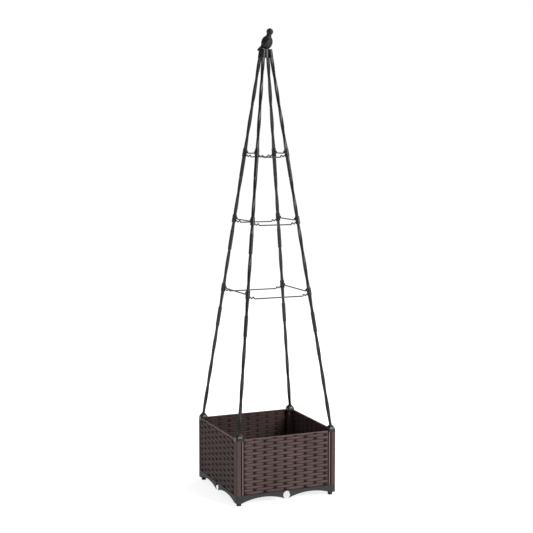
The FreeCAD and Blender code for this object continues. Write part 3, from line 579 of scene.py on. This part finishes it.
def bird():
    """A perching bird that looks away: body, neck, head, beak, folded wings, tail and peg in one
    casting."""
    bm = bmesh.new()
    lean = math.radians(BIRD_LEAN)
    up = Vector((math.sin(lean), 0, math.cos(lean)))
    lump(bm, [(BODY_PLACE + up * along, up, BODY_FLATNESS * radius, radius)
              for along, radius in BODY_PROFILE])
    radius_x, radius_y, radius_z = HEAD_RADII
    turns = [math.radians(angle) for angle in HEAD_ANGLES]
    lump(bm, [(HEAD_PLACE + UP * (radius_z * math.sin(turn)), UP,
               radius_y * math.cos(turn), radius_x * math.cos(turn)) for turn in turns])
    beak(bm)
    lump(bm, [((x, 0, z), TAIL_DIRECTION, wide, deep) for x, z, wide, deep in TAIL_PROFILE])
    for sign in (-1, 1):
        wing(bm, up, sign)
    lump(bm, [(UP * height, UP, PEG_RADIUS, PEG_RADIUS) for height in PEG_HEIGHTS])
    thing = piece("bird_casting", bm, CAST, "bird_finial", smooth_angle=180.0)
    skin = thing.modifiers.new("skin", "REMESH")
    skin.mode = "VOXEL"
    skin.voxel_size = 0.9 * MM
    skin.use_smooth_shade = True
    soften = thing.modifiers.new("soften", "SMOOTH")
    soften.factor = 0.5
    soften.iterations = 5


def beak(bm):
    """A short beak that points to the back right."""
    heading = Vector((0.35, 1, -0.12)).normalized()
    across = Vector((1, -0.35, 0)).normalized()
    rise = heading.cross(across) * BEAK_FLATNESS
    rings = []
    for along, radius in BEAK_PROFILE:
        centre = HEAD_PLACE + heading * along
        rings.append([(centre + (across * math.cos(turn) + rise * math.sin(turn)) * radius) * MM
                      for turn in full_turn(BEAK_POINTS)])
    loft(bm, rings)


def wing(bm, up, sign):
    """A folded wing that lies on the side of the body, down to the root of the tail."""
    rings = []
    for along, drift, wide, deep in WING_PROFILE:
        roundness = math.sqrt(1 - (along / WING_REACH) ** 2)
        side = BODY_FLATNESS * BODY_RADIUS * roundness - WING_SINK
        centre = BODY_PLACE + up * along + Vector((drift, sign * side, 0))
        rings.append([(centre + Vector((wide * math.cos(turn), sign * deep * math.sin(turn), 0)))
                      * MM for turn in full_turn(WING_POINTS)])
    loft(bm, rings)


# ---------------------------------------------------------------- the whole

for side in SIDES:
    woven_panel(side)
for corner in CORNERS:
    for number in range(1, len(JOINTS)):
        twisted_rod(corner, number)
bird()

# Each solid's finish, by the start of its name.
FINISHES = (("post", POST), ("base_frame", BASE), ("floor_plate", BASE), ("foot", BASE),
            ("cap", CAP), ("rung", ROD), ("hub", CAP), ("bird", CAST), ("rod", ROD),
            ("panel", WEAVE))
for name, node in frame["nodes"].items():
    finish = next(material for start, material in FINISHES if name.startswith(start))
    node.data.materials.clear()
    node.data.materials.append(finish)


# ---------------------------------------------------------------- floor, light and camera

WORLD_LIGHT = 0.24
FLOOR_RADIUS = 60.0
FLOOR_LIFT = (0.80, 0.86)        # glow of the floor as the camera sees it, near and far
FLOOR_REACH = (0.8, 4.0)         # distances from the middle that count as near and far
FOCAL_LENGTH = 80.77             # in millimetres, as is the width of the sensor
SENSOR_WIDTH = 36.0
CAMERA_PLACE = (-1.75635, -4.11703, 1.33068)
CAMERA_DOWN = 6.136              # degrees by which it looks down
CAMERA_TURN = 23.146             # degrees by which it is turned to the right


def floor():
    """A wide pale floor that looks white to the camera and keeps the soft shadow of the object."""
    bm = bmesh.new()
    bmesh.ops.create_circle(bm, cap_ends=True, radius=FLOOR_RADIUS, segments=96)
    mesh = bpy.data.meshes.new("floor")
    bm.to_mesh(mesh)
    bm.free()
    thing = bpy.data.objects.new("floor", mesh)
    bpy.context.scene.collection.objects.link(thing)
    material, shader = new_material("pale_floor", (0.8, 0.8, 0.8), roughness=0.9)
    shader.inputs["Specular IOR Level"].default_value = 0.0
    place = add(material, "ShaderNodeTexCoord")
    far = add(material, "ShaderNodeVectorMath", operation="LENGTH")
    lift = add(material, "ShaderNodeMapRange")
    lift.inputs["From Min"].default_value, lift.inputs["From Max"].default_value = FLOOR_REACH
    lift.inputs["To Min"].default_value, lift.inputs["To Max"].default_value = FLOOR_LIFT
    glow = add(material, "ShaderNodeEmission", Color=(1, 1, 1, 1))
    both = add(material, "ShaderNodeAddShader")
    white = add(material, "ShaderNodeMixShader")
    output = material.node_tree.nodes["Material Output"]
    link(material, place.outputs["Object"], far.inputs[0])
    link(material, far.outputs["Value"], lift.inputs["Value"])
    link(material, lift.outputs["Result"], glow.inputs["Strength"])
    link(material, shader.outputs["BSDF"], both.inputs[0])
    link(material, glow.outputs["Emission"], both.inputs[1])
    link(material, seen_directly(material), white.inputs["Fac"])
    link(material, shader.outputs["BSDF"], white.inputs[1])
    link(material, both.outputs["Shader"], white.inputs[2])
    link(material, white.outputs["Shader"], output.inputs["Surface"])
    mesh.materials.append(material)


def seen_directly(material):
    """1 for rays from the camera, and for those that gloss or glass sends on."""
    path = add(material, "ShaderNodeLightPath")
    either = add(material, "ShaderNodeMath", operation="MAXIMUM")
    any_ray = add(material, "ShaderNodeMath", operation="MAXIMUM")
    link(material, path.outputs["Is Camera Ray"], either.inputs[0])
    link(material, path.outputs["Is Glossy Ray"], either.inputs[1])
    link(material, either.outputs["Value"], any_ray.inputs[0])
    link(material, path.outputs["Is Transmission Ray"], any_ray.inputs[1])
    return any_ray.outputs["Value"]


def world():
    """White to the camera, and a soft grey light on the object."""
    sky = bpy.data.worlds.new("studio")
    bpy.context.scene.world = sky
    sky.use_nodes = True
    light = sky.node_tree.nodes["Background"]
    light.inputs["Color"].default_value = (1, 1, 1, 1)
    light.inputs["Strength"].default_value = WORLD_LIGHT
    white = add(sky, "ShaderNodeBackground", Color=(1, 1, 1, 1), Strength=1.0)
    path = add(sky, "ShaderNodeLightPath")
    mix = add(sky, "ShaderNodeMixShader")
    link(sky, path.outputs["Is Camera Ray"], mix.inputs["Fac"])
    link(sky, light.outputs["Background"], mix.inputs[1])
    link(sky, white.outputs["Background"], mix.inputs[2])
    link(sky, mix.outputs["Shader"], sky.node_tree.nodes["World Output"].inputs["Surface"])


def softbox(name, place, target, size, power):
    """A square lamp that faces the target; size in metres and power in watts."""
    lamp = bpy.data.lights.new(name, "AREA")
    lamp.shape = "SQUARE"
    lamp.size = size
    lamp.energy = power
    thing = bpy.data.objects.new(name, lamp)
    thing.location = place
    thing.rotation_euler = (Vector(target) - Vector(place)).to_track_quat("-Z", "Y").to_euler()
    bpy.context.scene.collection.objects.link(thing)


def camera():
    """The photograph's viewpoint, to the left of the front and a little above."""
    lens = bpy.data.cameras.new("camera")
    lens.lens = FOCAL_LENGTH
    lens.sensor_width = SENSOR_WIDTH
    thing = bpy.data.objects.new("camera", lens)
    thing.location = CAMERA_PLACE
    thing.rotation_euler = (math.radians(90 - CAMERA_DOWN), 0, math.radians(-CAMERA_TURN))
    bpy.context.scene.collection.objects.link(thing)
    bpy.context.scene.camera = thing


floor()
world()
softbox("key", place=(2.1, -3.7, 2.4), target=(0, 0, 0.7), size=2.0, power=150.0)
softbox("top", place=(1.7, -0.9, 4.3), target=(0, 0, 0.4), size=1.4, power=50.0)
softbox("back", place=(3.0, 3.0, 1.8), target=(0, 0, 0.8), size=1.8, power=40.0)
softbox("left", place=(-3.2, 1.0, 1.1), target=(0, 0, 0.3), size=1.0, power=8.0)
camera()
bpy.context.scene.view_settings.view_transform = "Standard"
